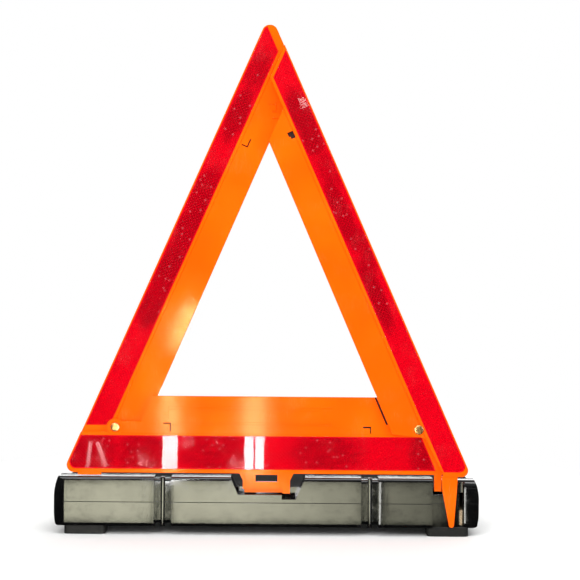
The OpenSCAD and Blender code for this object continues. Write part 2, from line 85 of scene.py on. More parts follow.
SLOT_FLOOR = 2.7 * MM  # depth of the blind slots in the bar and the arms
SLOT_REACH = 0.08 * MM  # how far from that depth a face still is a slot's floor
BORDER = 1.3 * MM  # plain border round the prisms of a reflector
PRISM_CELL = 2.0 * MM  # half the diagonal of one prism's diamond
LENS_T = 0.4 * MM  # thickness of the clear skin over the prisms
PRISM_TOP = 0.46 * MM  # depths below the reflector's face
PRISM_FOOT = 0.86 * MM
PRISM_BED = 0.98 * MM
BED_LAP = 0.04 * MM  # how far the border stands above the prisms' feet

WELD = 0.002 * MM  # corners closer than this are one corner
SHORT_EDGE = 0.01 * MM  # outline edges shorter than this are passed over
AT_TOP = 0.02 * MM  # how close to the prisms' tops a corner is one of them
NEAR = 0.05 * MM  # how close to a plate's face a corner lies on it
FACING = 0.9  # a face looks along an axis when its normal has more than this there
FLAT = math.radians(0.4)  # faces that meet at less than this make one flat face
CREASE = math.radians(38)  # edges that bend more than this are shaded sharp

# widths of the rounded edges
SHELL_EDGE = 0.22 * MM
PLUG_EDGE = 0.3 * MM
FOOT_EDGE = 0.5 * MM
PIN_EDGE = 0.35 * MM
RIVET_EDGE = 0.12 * MM
BAR_EDGE = 0.08 * MM  # fine, because the clip has strips 0.2 mm wide
ARM_EDGE = 0.2 * MM
LENS_EDGE = 0.15 * MM

# angles in degrees past which an edge is rounded
USUAL_BEND = 28
RIVET_BEND = 24
SQUARE_BEND = 50

FOOT_STEPS = ((0.0, 0.9), (0.5, 0.3))  # a sole's insets: how deep and how wide, in mm

# brightness of the prisms, from 0 to 1, holding painted shade, painted highlights, painted
# dark reflections and painted glints
BORDER_TONE = 0.95
# painted shade on the walls round the prisms
WALL_SHADE = 0.4
CLEAR_TONE = 0.84
# a dark patch is a painted reflection of dark surroundings
DARK_REFLECTION_FALL = 0.95  # what a full dark patch takes away
CLEAR_MOTTLE = 0.16
DARK_REFLECTION_MOTTLE = 1.2
# a painted highlight on the prisms' tops, and painted shade at their feet
TOP_HIGHLIGHT = 0.2
FOOT_SHADE = 0.45
DARK_REFLECTION_DROP = 0.3  # the most that a dark patch lowers the feet further
DARK_REFLECTION_GROWTH = 2.5
# the specks are painted glints
GLINT_TONE = 0.45
GLINT_FROM = 0.95  # specks come where the cell noise is above this
GLINT_GAIN = 0.1
GLINT_IN_DARK = 0.25  # and only in patches darker than this

WHITE = (1, 1, 1, 1)


# ---- small helpers for meshes -----------------------------------------------


def merged_copy(node):
    """The solid of a CAD node as one closed mesh, with its flat faces whole."""
    bm = bmesh.new()
    bm.from_mesh(nodes[node].data)
    bmesh.ops.remove_doubles(bm, verts=bm.verts, dist=WELD)
    bmesh.ops.dissolve_limit(bm, angle_limit=FLAT, verts=bm.verts, edges=bm.edges)
    return bm


def soften(bm, width, at_least=USUAL_BEND):
    """Rounds every edge that bends by more than at_least degrees."""
    limit = math.radians(at_least)
    sharp = [e for e in bm.edges if e.is_manifold and e.calc_face_angle(0) > limit]
    bmesh.ops.bevel(
        bm,
        geom=sharp,
        offset=width,
        offset_type="OFFSET",
        affect="EDGES",
        segments=2,
        profile=0.5,
        material=-1,
        clamp_overlap=False,
    )


def placed(name, data):
    """A new object in the scene."""
    made = bpy.data.objects.new(name, data)
    bpy.context.scene.collection.objects.link(made)
    return made


def piece(bm, name, node, materials, replaces=True):
    """The finished object, riding on the body of its CAD node."""
    mesh = bpy.data.meshes.new(name)
    for f in bm.faces:
        f.smooth = True
    bm.to_mesh(mesh)
    bm.free()
    mesh.set_sharp_from_angle(angle=CREASE)
    for m in materials:
        mesh.materials.append(m)
    made = placed(name, mesh)
    weighted = made.modifiers.new("even_normals", "WEIGHTED_NORMAL")
    weighted.keep_sharp = True
    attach(made, nodes[node]["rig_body"])
    if replaces:
        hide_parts(node)
    return made


# ---- small helpers for materials --------------------------------------------


def put(tree, kind, inputs=None, **props):
    """Adds a node, and sets or links its inputs by name or number."""
    node = tree.nodes.new("ShaderNode" + kind)
    for key, value in props.items():
        setattr(node, key, value)
    for key, value in (inputs or {}).items():
        if isinstance(value, bpy.types.NodeSocket):
            tree.links.new(value, node.inputs[key])
        else:
            node.inputs[key].default_value = value
    return node


def emptied(holder):
    """Turns on the nodes of a material or a world, and clears them."""
    holder.use_nodes = True
    holder.node_tree.nodes.clear()
    return holder.node_tree


def math_node(tree, operation, a, b=0.5, c=0.0, clamp=False):
    return put(
        tree, "Math", {0: a, 1: b, 2: c}, operation=operation, use_clamp=clamp
    ).outputs[0]


def noise_value(tree, vector, scale, detail=2.0, rough=0.5, twist=0.0):
    return put(
        tree,
        "TexNoise",
        {
            "Vector": vector,
            "Scale": scale,
            "Detail": detail,
            "Roughness": rough,
            "Distortion": twist,
        },
    ).outputs[0]


def stretched(tree, vector, scale, turn=0.0):
    """Coordinates squeezed by scale along each axis after a turn about Y."""
    return put(
        tree,
        "Mapping",
        {"Vector": vector, "Rotation": (0, turn, 0), "Scale": scale},
    ).outputs[0]


def ramp(tree, value, stops):
    """A colour ramp; each stop is (place, (r, g, b))."""
    node = put(tree, "ValToRGB", {0: value})
    bar = node.color_ramp.elements
    while len(bar) < len(stops):
        bar.new(0.5)
    for element, (place, colour) in zip(bar, stops):
        element.position = place
        element.color = (*colour, 1)
    return node.outputs[0]


def spread(tree, value, low, high, out_low=0.0, out_high=1.0):
    """Moves the range low..high of a value to out_low..out_high."""
    return put(
        tree,
        "MapRange",
        {0: value, 1: low, 2: high, 3: out_low, 4: out_high},
    ).outputs[0]


def mix(tree, share, first, second):
    """The first colour, with this share of the second."""
    return put(
        tree, "Mix", {0: share, 6: first, 7: second}, data_type="RGBA"
    ).outputs[2]


def new_group(name, inputs, outputs):
    """An empty node group; inputs are (name, kind, usual value), outputs (name, kind)."""
    tree = bpy.data.node_groups.new(name, "ShaderNodeTree")
    for label, kind, value in inputs:
        socket = tree.interface.new_socket(label, in_out="INPUT", socket_type=kind)
        if value is not None:
            socket.default_value = value
    for label, kind in outputs:
        tree.interface.new_socket(label, in_out="OUTPUT", socket_type=kind)
    return tree, tree.nodes.new("NodeGroupInput"), tree.nodes.new("NodeGroupOutput")


def use(tree, group, inputs):
    """Places a node group, and gives its outputs."""
    return put(tree, "Group", inputs, node_tree=group).outputs


def new_material(name):
    """A material with no nodes but the coordinates of its object."""
    material = bpy.data.materials.new(name)
    tree = emptied(material)
    place = put(tree, "TexCoord").outputs["Object"]
    return material, tree, place


def finish_material(tree, inputs, height=None):
    """The Principled shader with its plain values, and the bump when there is one."""
    shader = put(tree, "BsdfPrincipled", inputs)
    if height is not None:
        bump = put(tree, "Bump", {"Height": height, "Distance": 1.0, "Strength": 1.0})
        tree.links.new(bump.outputs[0], shader.inputs["Normal"])
    put(tree, "OutputMaterial", {0: shader.outputs[0]})


# ---- shared effects ---------------------------------------------------------


def build_ripple_group():
    """Slow waves that moulded plastic shows in its gloss, as a height in metres."""
    tree, given, out = new_group(
        "moulding_ripples",
        [
            ("Place", "NodeSocketVector", None),
            ("Size", "NodeSocketFloat", 1.0),
            ("Depth", "NodeSocketFloat", 1.0),
        ],
        [("Height", "NodeSocketFloat"), ("Tone", "NodeSocketFloat")],
    )
    place, size, depth = given.outputs[:3]
    slow = noise_value(tree, place, math_node(tree, "MULTIPLY", size, 16.0), 1.5)
    fast = noise_value(tree, place, math_node(tree, "MULTIPLY", size, 75.0), 2.0)
    both = math_node(tree, "MULTIPLY_ADD", fast, 0.16, slow)
    unit = math_node(tree, "MULTIPLY", depth, 0.0003)
    metres = math_node(tree, "MULTIPLY", both, unit)
    tree.links.new(metres, out.inputs["Height"])
    tree.links.new(slow, out.inputs["Tone"])
    return tree


def build_grain_group():
    """Fine skin grain: a mask and a height in metres."""
    tree, given, out = new_group(
        "skin_grain",
        [
            ("Place", "NodeSocketVector", None),
            ("Grain Size", "NodeSocketFloat", 1.0),
            ("Depth", "NodeSocketFloat", 1.0),
        ],
        [("Height", "NodeSocketFloat"), ("Mask", "NodeSocketFloat")],
    )
    place, size, depth = given.outputs[:3]
    fine = noise_value(tree, place, math_node(tree, "DIVIDE", 1400.0, size), 3.0, 0.6)
    patches = noise_value(tree, place, 60.0, 2.0)
    mask = math_node(tree, "MULTIPLY", fine, patches)
    unit = math_node(tree, "MULTIPLY", depth, 0.00001)
    metres = math_node(tree, "MULTIPLY", fine, unit)
    tree.links.new(metres, out.inputs["Height"])
    tree.links.new(mask, out.inputs["Mask"])
    return tree


def build_scratch_group():
    """Sparse hairline scratches in two directions: a mask from 0 to 1."""
    tree, given, out = new_group(
        "hairline_scratches",
        [
            ("Place", "NodeSocketVector", None),
            ("Amount", "NodeSocketFloat", 0.5),
        ],
        [("Mask", "NodeSocketFloat")],
    )
    place, amount = given.outputs[:2]
    lines = []
    for turn, scale in ((0.5, (1500, 300, 26)), (-0.9, (1900, 300, 34))):
        n = noise_value(tree, stretched(tree, place, scale, turn), 1.0, 1.0)
        off = math_node(tree, "ABSOLUTE", math_node(tree, "SUBTRACT", n, 0.5))
        lines.append(spread(tree, off, 0.012, 0.0))
    both = math_node(tree, "MAXIMUM", lines[0], lines[1])
    where = spread(tree, noise_value(tree, place, 34.0, 3.0, 0.6), 0.52, 0.66)
    mask = math_node(tree, "MULTIPLY", both, where)
    mask = math_node(tree, "MULTIPLY", mask, amount, clamp=True)
    tree.links.new(mask, out.inputs["Mask"])
    return tree


ripples = build_ripple_group()
grain = build_grain_group()
scratches = build_scratch_group()


def add(tree, *values):
    """The sum of two or more values."""
    total = values[0]
    for value in values[1:]:
        total = math_node(tree, "ADD", total, value)
    return total


# ---- materials --------------------------------------------------------------


def orange_plastic(name, ribbed):
    """Fluorescent orange plastic, glossy, with slow ripples, hairline scratches and a
    faint painted glow.
    """
    material, tree, place = new_material(name)
    wave = use(tree, ripples, {"Place": place, "Size": 1.0, "Depth": 0.3})
    skin = use(tree, grain, {"Place": place, "Grain Size": 1.2, "Depth": 1.4})
    worn = use(tree, scratches, {"Place": place, "Amount": 0.9})[0]
    colour = ramp(
        tree,
        wave["Tone"],
        [
            (0.32, (0.98, 0.108, 0.001)),
            (0.52, (1.0, 0.126, 0.0012)),
            (0.7, (1.0, 0.148, 0.002)),
        ],
    )
    share = math_node(tree, "MULTIPLY", worn, 0.5)
    colour = mix(tree, share, colour, (1.0, 0.3, 0.08, 1))
    rough = spread(tree, add(tree, skin["Mask"], worn), 0.1, 1.1, 0.1, 0.3)
    cuts = math_node(tree, "MULTIPLY", worn, -0.00001)
    height = add(tree, wave["Height"], skin["Height"], cuts)
    if ribbed:
        lines = put(
            tree,
            "TexWave",
            {"Vector": place, "Scale": 92.0, "Distortion": 1.2, "Detail": 1.0},
            bands_direction="X",
        ).outputs[1]
        height = add(tree, height, math_node(tree, "MULTIPLY", lines, 0.000004))
    finish_material(
        tree,
        {
            "Base Color": colour,
            "Roughness": rough,
            "IOR": 1.5,
            "Specular IOR Level": 0.26,
            "Specular Tint": (1.0, 0.8, 0.35, 1),
            # a faint painted glow, so the orange lights itself
            "Emission Color": (1.0, 0.09, 0.0, 1),
            "Emission Strength": 0.1,
        },
        height,
    )
    return material


def slot_shadow():
    """The floor of the narrow slots, painted dark as shade, a little mottled."""
    material, tree, place = new_material("slot_shadow")
    # painted shade: the slot floors are near black, a little mottled
    shade_mottle = noise_value(tree, place, 500.0, 3.0, 0.6)
    colour = ramp(
        tree, shade_mottle, [(0.3, (0.012, 0.003, 0.002)), (0.7, (0.05, 0.012, 0.004))]
    )
    finish_material(
        tree,
        {"Base Color": colour, "Roughness": spread(tree, shade_mottle, 0.3, 0.7, 0.6, 0.9)},
        math_node(tree, "MULTIPLY", shade_mottle, 0.0001),
    )
    return material


def prism_red():
    """The prisms behind the lens: red facets whose brightness is on the mesh, with painted
    shade, painted highlights, painted dark reflections and painted glints, and a faint
    painted glow.
    """
    material, tree, place = new_material("prism_red")
    tone = put(tree, "Attribute", attribute_name="prism_painted_light").outputs["Fac"]
    painted_glint = put(tree, "Attribute", attribute_name="prism_painted_glint").outputs["Fac"]
    fine = noise_value(tree, place, 900.0, 2.0)
    tone = add(tree, tone, spread(tree, fine, 0.3, 0.7, -0.06, 0.06))
    colour = ramp(
        tree,
        tone,
        [
            (0.0, (0.04, 0.0, 0.001)),
            (0.35, (0.34, 0.0, 0.006)),
            (0.7, (0.86, 0.0004, 0.011)),
            (1.0, (1.0, 0.0015, 0.018)),
        ],
    )
    # painted glints: the specks turn pale pink
    colour = mix(tree, painted_glint, colour, (1.0, 0.5, 0.55, 1))
    finish_material(
        tree,
        {
            "Base Color": colour,
            "Roughness": spread(tree, fine, 0.3, 0.7, 0.16, 0.3),
            "Specular IOR Level": 0.05,
            # a faint painted glow in the prisms' own colour
            "Emission Color": colour,
            "Emission Strength": 0.12,
        },
        math_node(tree, "MULTIPLY", fine, 0.00002),
    )
    return material


def red_lens():
    """The clear red skin over the prisms, smooth, a little wavy and scratched."""
    material, tree, place = new_material("red_lens")
    wave = use(tree, ripples, {"Place": place, "Size": 1.5, "Depth": 0.25})
    worn = use(tree, scratches, {"Place": place, "Amount": 0.8})[0]
    dust = spread(tree, noise_value(tree, place, 300.0, 4.0, 0.65), 0.6, 0.8)
    share = math_node(tree, "MULTIPLY", worn, 0.35)
    colour = mix(tree, share, (0.75, 0.0, 0.01, 1), (0.95, 0.3, 0.3, 1))
    alpha = add(
        tree,
        spread(tree, wave["Tone"], 0.3, 0.7, 0.22, 0.32),
        math_node(tree, "MULTIPLY", worn, 0.25),
    )
    rough = spread(tree, add(tree, dust, worn), 0.0, 1.0, 0.03, 0.16)
    cuts = math_node(tree, "MULTIPLY", worn, -0.000008)
    finish_material(
        tree,
        {"Base Color": colour, "Alpha": alpha, "Roughness": rough, "IOR": 1.7},
        add(tree, wave["Height"], cuts),
    )
    return material


def black_plastic():
    """Glossy black plastic of the base, with flow ripples, scuffs and dust."""
    material, tree, place = new_material("black_plastic")
    wave = use(tree, ripples, {"Place": place, "Size": 1.3, "Depth": 0.6})
    skin = use(tree, grain, {"Place": place, "Grain Size": 1.6, "Depth": 1.6})
    worn = use(tree, scratches, {"Place": place, "Amount": 0.8})[0]
    dust = spread(tree, noise_value(tree, place, 130.0, 4.0, 0.7), 0.5, 0.85)
    share = math_node(tree, "MULTIPLY", dust, 0.05)
    colour = mix(tree, share, (0.002, 0.002, 0.0022, 1), (0.12, 0.115, 0.1, 1))
    share = math_node(tree, "MULTIPLY", worn, 0.15)
    colour = mix(tree, share, colour, (0.1, 0.1, 0.09, 1))
    rough = spread(tree, add(tree, skin["Mask"], dust, worn), 0.15, 1.4, 0.08, 0.26)
    flow = noise_value(tree, stretched(tree, place, (1.0, 1.0, 0.18)), 140.0, 2.0)
    height = add(
        tree,
        wave["Height"],
        skin["Height"],
        math_node(tree, "MULTIPLY", flow, 0.00003),
        math_node(tree, "MULTIPLY", worn, -0.00001),
    )
    finish_material(
        tree,
        {"Base Color": colour, "Roughness": rough, "IOR": 1.6},
        height,
    )
    return material


def foot_rubber():
    """Matt black rubber, crumbly and a little dusty."""
    material, tree, place = new_material("foot_rubber")
    crumbs = noise_value(tree, place, 900.0, 4.0, 0.7)
    dust = spread(tree, noise_value(tree, place, 90.0, 3.0), 0.45, 0.8)
    share = math_node(tree, "MULTIPLY", dust, 0.12)
    colour = mix(tree, share, (0.004, 0.004, 0.004, 1), (0.06, 0.057, 0.05, 1))
    finish_material(
        tree,
        {
            "Base Color": colour,
            "Roughness": spread(tree, crumbs, 0.3, 0.7, 0.6, 0.9),
        },
        math_node(tree, "MULTIPLY", crumbs, 0.00012),
    )
    return material


def bare_metal(name, tint, rough_from, rough_to):
    """Turned or pressed metal with fine brushing and small dents, in the given tint; the
    rivets' tint is a painted reflection of the orange round them.
    """
    material, tree, place = new_material(name)
    brushed = noise_value(tree, stretched(tree, place, (1, 40, 40)), 60.0, 3.0, 0.6)
    dents = noise_value(tree, place, 700.0, 2.0)
    dull = tuple(0.72 * c for c in tint)
    colour = ramp(tree, brushed, [(0.3, dull), (0.65, tint)])
    finish_material(
        tree,
        {
            "Base Color": colour,
            "Metallic": 1.0,
            "Roughness": spread(tree, brushed, 0.3, 0.7, rough_from, rough_to),
        },
        math_node(tree, "MULTIPLY", dents, 0.00003),
    )
    return material


def loose_sand():
    """Sand whose grains differ in colour."""
    material, tree, place = new_material("loose_sand")
    grains = put(tree, "TexVoronoi", {"Vector": place, "Scale": 1400.0})
    mixed = math_node(tree, "MULTIPLY", grains.outputs["Position"], 917.0)
    colour = ramp(
        tree,
        math_node(tree, "FRACT", mixed),
        [
            (0.0, (0.32, 0.22, 0.11)),
            (0.5, (0.55, 0.42, 0.25)),
            (1.0, (0.72, 0.62, 0.45)),
        ],
    )
    finish_material(
        tree,
        {
            "Base Color": colour,
            "Roughness": spread(tree, grains.outputs["Distance"], 0.0, 0.6, 0.7, 0.95),
        },
        math_node(tree, "MULTIPLY", grains.outputs["Distance"], -0.0006),
    )
    return material


orange_arm = orange_plastic("orange_arm_plastic", ribbed=False)
orange_bar = orange_plastic("orange_bar_plastic", ribbed=True)
# the material of the painted shade in the slots
slot_painted_shade = slot_shadow()
red_prisms = prism_red()
clear_red = red_lens()
black_shell = black_plastic()
rubber = foot_rubber()
# the rivets' warm tint is a painted reflection of the orange arms round them
rivet_metal = bare_metal("rivet_metal", (0.95, 0.55, 0.22), 0.3, 0.45)
pin_steel = bare_metal("pin_steel", (0.66, 0.66, 0.68), 0.2, 0.4)
sand_grains = loose_sand()


# ---- base -------------------------------------------------------------------

for node, name in (
    ("base_upper_shell", "upper_shell_moulding"),
    ("base_lower_shell", "lower_shell_moulding"),
):
    bm = merged_copy(node)
    soften(bm, SHELL_EDGE)
    piece(bm, name, node, [black_shell])

bm = merged_copy("filler_plug")
soften(bm, PLUG_EDGE)
piece(bm, "filler_plug_cap", "filler_plug", [black_shell])

for end in ("front", "rear"):
    for side in ("left", "right"):
        node = f"foot_{end}_{side}"
        bm = merged_copy(node)
        sole = min(bm.faces, key=lambda f: f.calc_center_median().z)
        for deep, wide in FOOT_STEPS:
            bmesh.ops.inset_region(
                bm,
                faces=[sole],
                thickness=wide * MM,
                depth=-deep * MM,
                use_even_offset=True,
            )
        soften(bm, FOOT_EDGE, at_least=SQUARE_BEND)
        piece(bm, f"{node}_pad", node, [rubber])

for part in ("left", "centre", "right"):
    sand = nodes[f"sand_{part}"]
    sand.data.materials.clear()
    sand.data.materials.append(sand_grains)

# ---- metal ------------------------------------------------------------------

bm = merged_copy("hinge_pin")
soften(bm, PIN_EDGE, at_least=SQUARE_BEND)
piece(bm, "hinge_pin_rod", "hinge_pin", [pin_steel])
for side in ("left", "right"):
    bm = merged_copy(f"{side}_rivet")
    soften(bm, RIVET_EDGE, at_least=RIVET_BEND)
    piece(bm, f"{side}_rivet_head", f"{side}_rivet", [rivet_metal])


# ---- bar and arms -----------------------------------------------------------

lowest_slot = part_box("bottom_front_reflector")[0].z
for node, name, material, edge in (
    ("bottom_bar", "bottom_bar_moulding", orange_bar, BAR_EDGE),
    ("left_arm", "left_arm_moulding", orange_arm, ARM_EDGE),
    ("right_arm", "right_arm_moulding", orange_arm, ARM_EDGE),
):
    bm = merged_copy(node)
    bm.normal_update()
    place_name = node.split("_")[0]
    floor_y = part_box(f"{place_name}_front_reflector")[0].y + SLOT_FLOOR
    soften(bm, edge)
    bm.normal_update()
    # faces at a slot's floor get the painted shade, the second material
    for f in bm.faces:
        middle = f.calc_center_median()
        at_floor = abs(middle.y - floor_y) < SLOT_REACH
        if f.normal.y < -FACING and at_floor and middle.z > lowest_slot:
            f.material_index = 1
    piece(bm, name, node, [material, slot_painted_shade])


# ---- reflectors -------------------------------------------------------------


def prism_grid(length, width):
    """A grid whose every second corner is raised, so that it reads as small diamonds."""
    bm = bmesh.new()
    across = 2 * math.ceil(width / PRISM_CELL / 2) + 2
    along = 2 * math.ceil(length / PRISM_CELL / 2) + 2
    bmesh.ops.create_grid(
        bm,
        x_segments=along,
        y_segments=across,
        size=0.5,
        matrix=Matrix.Diagonal((along * PRISM_CELL, across * PRISM_CELL, 1, 1)),
    )
    even = (along + across) // 2 % 2
    raised = {
        v
        for v in bm.verts
        if (round(v.co.x / PRISM_CELL) + round(v.co.y / PRISM_CELL)) % 2 == even
    }
    for f in list(bm.faces):
        low = [v for v in f.verts if v not in raised]
        bmesh.utils.face_split(f, low[0], low[1])
    for v in raised:
        v.co.z = PRISM_FOOT - PRISM_TOP
    return bm


def dark_reflection_at(place, dark_reflections):
    """How much the painted dark reflections take away at a place given as (along, across).
    """
    dark = 0.0
    for along, across, long, wide, depth in dark_reflections:
        d = ((place[0] - along) / long) ** 2 + ((place[1] - across) / wide) ** 2
        dark = max(dark, depth * math.exp(-d * d))
    return dark


def reflector(node, side, direction, dark_reflections):
    """Prisms on a bed with a plain border, and the clear red lens over them; the prisms
    carry painted shade, painted highlights, painted dark reflections and painted glints.
    """
    bed = merged_copy(node)
    bed.normal_update()
    face = max(
        (f for f in bed.faces if f.normal.y * side > FACING),
        key=lambda f: f.calc_area(),
    )
    outline = [v.co.copy() for v in face.verts]
    face_y = outline[0].y
    centre = sum(outline, Vector()) / len(outline)
    lens = bed.copy()

    # prisms, laid along the plate
    u = Vector(direction).normalized()
    n = Vector((0, side, 0))
    v = n.cross(u)
    spans = [[(p - centre).dot(a) for p in outline] for a in (u, v)]
    ends = [(min(s), max(s)) for s in spans]
    middle = centre + u * sum(ends[0]) / 2 + v * sum(ends[1]) / 2
    middle.y = face_y - side * PRISM_FOOT
    length, width = (e[1] - e[0] for e in ends)
    prisms = prism_grid(length, width)
    turn = Matrix((u, v, n)).transposed().to_4x4()
    prisms.transform(Matrix.Translation(middle) @ turn)
    for a, b in zip(outline, outline[1:] + outline[:1]):
        if (b - a).length < SHORT_EDGE:
            continue
        out = (b - a).cross(n).normalized()
        if out.dot(a - centre) < 0:
            out = -out
        bmesh.ops.bisect_plane(
            prisms,
            geom=prisms.verts[:] + prisms.edges[:] + prisms.faces[:],
            plane_co=a - out * BORDER,
            plane_no=out,
            clear_outer=True,
        )
    tone = prisms.verts.layers.float.new("prism_painted_light")
    painted_glint = prisms.verts.layers.float.new("prism_painted_glint")
    # painted light on each corner of the prisms: a painted highlight on the tops, painted
    # shade at the feet, painted dark reflections in patches and painted glints in those
    for p in prisms.verts:
        high = abs(p.co.y - (face_y - side * PRISM_TOP)) < AT_TOP
        along = (p.co - middle).dot(u) / length + 0.5
        across = (p.co - middle).dot(v) / width + 0.5
        streaks = noise.noise(Vector((along * length * 60, across * width * 260, side)))
        mottle = streaks * 0.5 + noise.noise(p.co * 420) * 0.3
        dark = dark_reflection_at((along, across), dark_reflections)
        uneven = mottle * (CLEAR_MOTTLE + DARK_REFLECTION_MOTTLE * dark)
        bright = CLEAR_TONE - DARK_REFLECTION_FALL * dark + uneven
        drop = -FOOT_SHADE - DARK_REFLECTION_DROP * min(1, DARK_REFLECTION_GROWTH * dark)
        p[tone] = bright + (TOP_HIGHLIGHT if high else drop)
        glint = noise.cell(p.co * 900) > GLINT_FROM - GLINT_GAIN * dark
        p[painted_glint] = GLINT_TONE if high and glint and dark > GLINT_IN_DARK else 0.0
    rim = [e for e in prisms.edges if e.is_boundary]
    walls = bmesh.ops.extrude_edge_only(prisms, edges=rim)["geom"]
    for p in walls:
        if isinstance(p, bmesh.types.BMVert):
            p.co.y = face_y - side * PRISM_BED
            # the walls round the prisms are painted in shade
            p[tone] = WALL_SHADE
    foot = [e for e in walls if isinstance(e, bmesh.types.BMEdge)]
    foot = [e for e in foot if e.is_boundary]
    bmesh.ops.edgeloop_fill(prisms, edges=foot)

    # the bed is the plate with its outer face lowered
    bed_tone = bed.verts.layers.float.new("prism_painted_light")
    bed.verts.layers.float.new("prism_painted_glint")
    for p in bed.verts:
        p[bed_tone] = BORDER_TONE
        if abs(p.co.y - face_y) < NEAR:
            p.co.y -= side * (PRISM_FOOT - BED_LAP)
    shell = bpy.data.meshes.new("bed")
    bed.to_mesh(shell)
    bed.free()
    prisms.from_mesh(shell)
    bpy.data.meshes.remove(shell)
    bmesh.ops.recalc_face_normals(prisms, faces=prisms.faces)
    name = node.replace("_reflector", "")
    made = piece(prisms, f"{name}_prisms", node, [red_prisms])
    for p in made.data.polygons:
        p.use_smooth = False

    # the lens is the plate with its inner face raised
    for p in lens.verts:
        if abs(p.co.y - face_y) > NEAR:
            p.co.y = face_y - side * LENS_T
    soften(lens, LENS_EDGE)
    piece(lens, f"{name}_lens", node, [clear_red], replaces=False)


def edge_direction(node):
    """The long direction of a reflector, from its longest edge."""
    bm = merged_copy(node)
    edge = max(bm.edges, key=lambda e: e.calc_length())
    run = edge.verts[1].co - edge.verts[0].co
    bm.free()
    return run if run.z > 0 or (run.z == 0 and run.x > 0) else -run


# painted dark reflections: place along and across, reach along and across, all as shares
# of the reflector's length and width from its lower or left end, and how dark
LEFT_DARK_REFLECTIONS = [
    (0.79, 0.5, 0.06, 0.4, 0.9),
    (0.59, 0.35, 0.06, 0.6, 0.9),
    (0.5, 0.3, 0.07, 0.6, 0.85),
    (0.4, 0.35, 0.08, 0.6, 0.8),
    (0.31, 0.4, 0.05, 0.6, 0.6),
    (0.9, 0.5, 0.05, 0.6, 0.35),
]
RIGHT_DARK_REFLECTIONS = [
    (0.86, 0.5, 0.05, 0.5, 0.85),
    (0.8, 0.5, 0.04, 0.5, 0.7),
    (0.62, 0.6, 0.08, 0.35, 0.95),
    (0.43, 0.65, 0.08, 0.35, 0.9),
    (0.53, 0.3, 0.06, 0.3, 0.45),
    (0.72, 0.4, 0.05, 0.4, 0.35),
]
BAR_DARK_REFLECTIONS = [
    (0.05, 0.5, 0.08, 0.8, 0.5),
    (0.2, 0.5, 0.08, 0.7, 0.42),
    (0.4, 0.5, 0.1, 0.8, 0.34),
    (0.7, 0.5, 0.1, 0.7, 0.4),
    (0.97, 0.5, 0.04, 0.8, 0.55),
]
for where, dark_reflections in (
    ("left", LEFT_DARK_REFLECTIONS),
    ("right", RIGHT_DARK_REFLECTIONS),
    ("bottom", BAR_DARK_REFLECTIONS),
):
    for end, side in (("front", FRONT), ("rear", REAR)):
        node = f"{where}_{end}_reflector"
        run = Vector((1, 0, 0)) if where == "bottom" else edge_direction(node)
        reflector(node, side, run, dark_reflections)


# ---- stage, lights and camera -----------------------------------------------

FACE_Y = cad_box[0].y
CAMERA_BACK = 1.15  # metres from the front face to the camera
CAMERA_AT = Vector((0.024, FACE_Y - CAMERA_BACK, 0.2666))
FRAME_WIDTH = 0.6275  # metres across the view at the front face
SENSOR = 36.0  # its width in millimetres
ROLL = math.radians(0.45)
CLIP_END = 50
FLOOR_SIDE = 12
LIT_FROM, LIT_TO = 0.26, 0.6  # metres from the middle over which the floor turns white


def floor_material():
    """Pale and matt, and evenly bright away from the triangle."""
    material, tree, place = new_material("pale_floor")
    tint = noise_value(tree, place, 3.0, 2.0)
    colour = ramp(tree, tint, [(0.3, (0.86, 0.86, 0.85)), (0.7, (0.9, 0.9, 0.89))])
    pale = put(tree, "BsdfDiffuse", {"Color": colour})
    bright = put(tree, "Emission", {"Color": WHITE, "Strength": 1.0})
    away = put(tree, "VectorMath", {0: place}, operation="LENGTH").outputs["Value"]
    share = spread(tree, away, LIT_FROM, LIT_TO)
    lit = put(tree, "MixShader", {0: share, 1: pale.outputs[0], 2: bright.outputs[0]})
    put(tree, "OutputMaterial", {0: lit.outputs[0]})
    return material


def sheet_of(name, matrix, material):
    """A flat sheet with one material, placed in the scene."""
    bm = bmesh.new()
    bmesh.ops.create_grid(bm, x_segments=1, y_segments=1, size=0.5, matrix=matrix)
    mesh = bpy.data.meshes.new(name)
    bm.to_mesh(mesh)
    bm.free()
    mesh.materials.append(material)
    made = placed(name, mesh)
    return made


floor_matrix = Matrix.Diagonal((FLOOR_SIDE, FLOOR_SIDE, 1, 1))
floor = sheet_of("floor", floor_matrix, floor_material())
floor.visible_glossy = False


def glow(name, colour, strength, mottled=False):
    """A softly lit card: even, or mottled and fading to one side."""
    material = bpy.data.materials.new(name)
    tree = emptied(material)
    lit = put(tree, "Emission", {"Color": (*colour, 1), "Strength": strength})
    if mottled:
        place = put(tree, "TexCoord").outputs["Object"]
        x = put(tree, "SeparateXYZ", {0: place}).outputs[0]
        fade = spread(tree, x, -0.05, 0.2, 1.0, 0.3)
        patches = noise_value(tree, place, 45.0, 4.0, 0.6)
        blots = spread(tree, patches, 0.3, 0.7, 0.8, 1.15)
        amount = math_node(tree, "MULTIPLY", fade, blots)
        amount = math_node(tree, "MULTIPLY", amount, strength)
        tree.links.new(amount, lit.inputs["Strength"])
    put(tree, "OutputMaterial", {0: lit.outputs[0]})
    return material


def gloss_only(card):
    """Leaves a card to be seen in reflections and nowhere else."""
    card.visible_camera = False
    card.visible_diffuse = False
    card.visible_shadow = False
    card.visible_transmission = False
    card.visible_volume_scatter = False


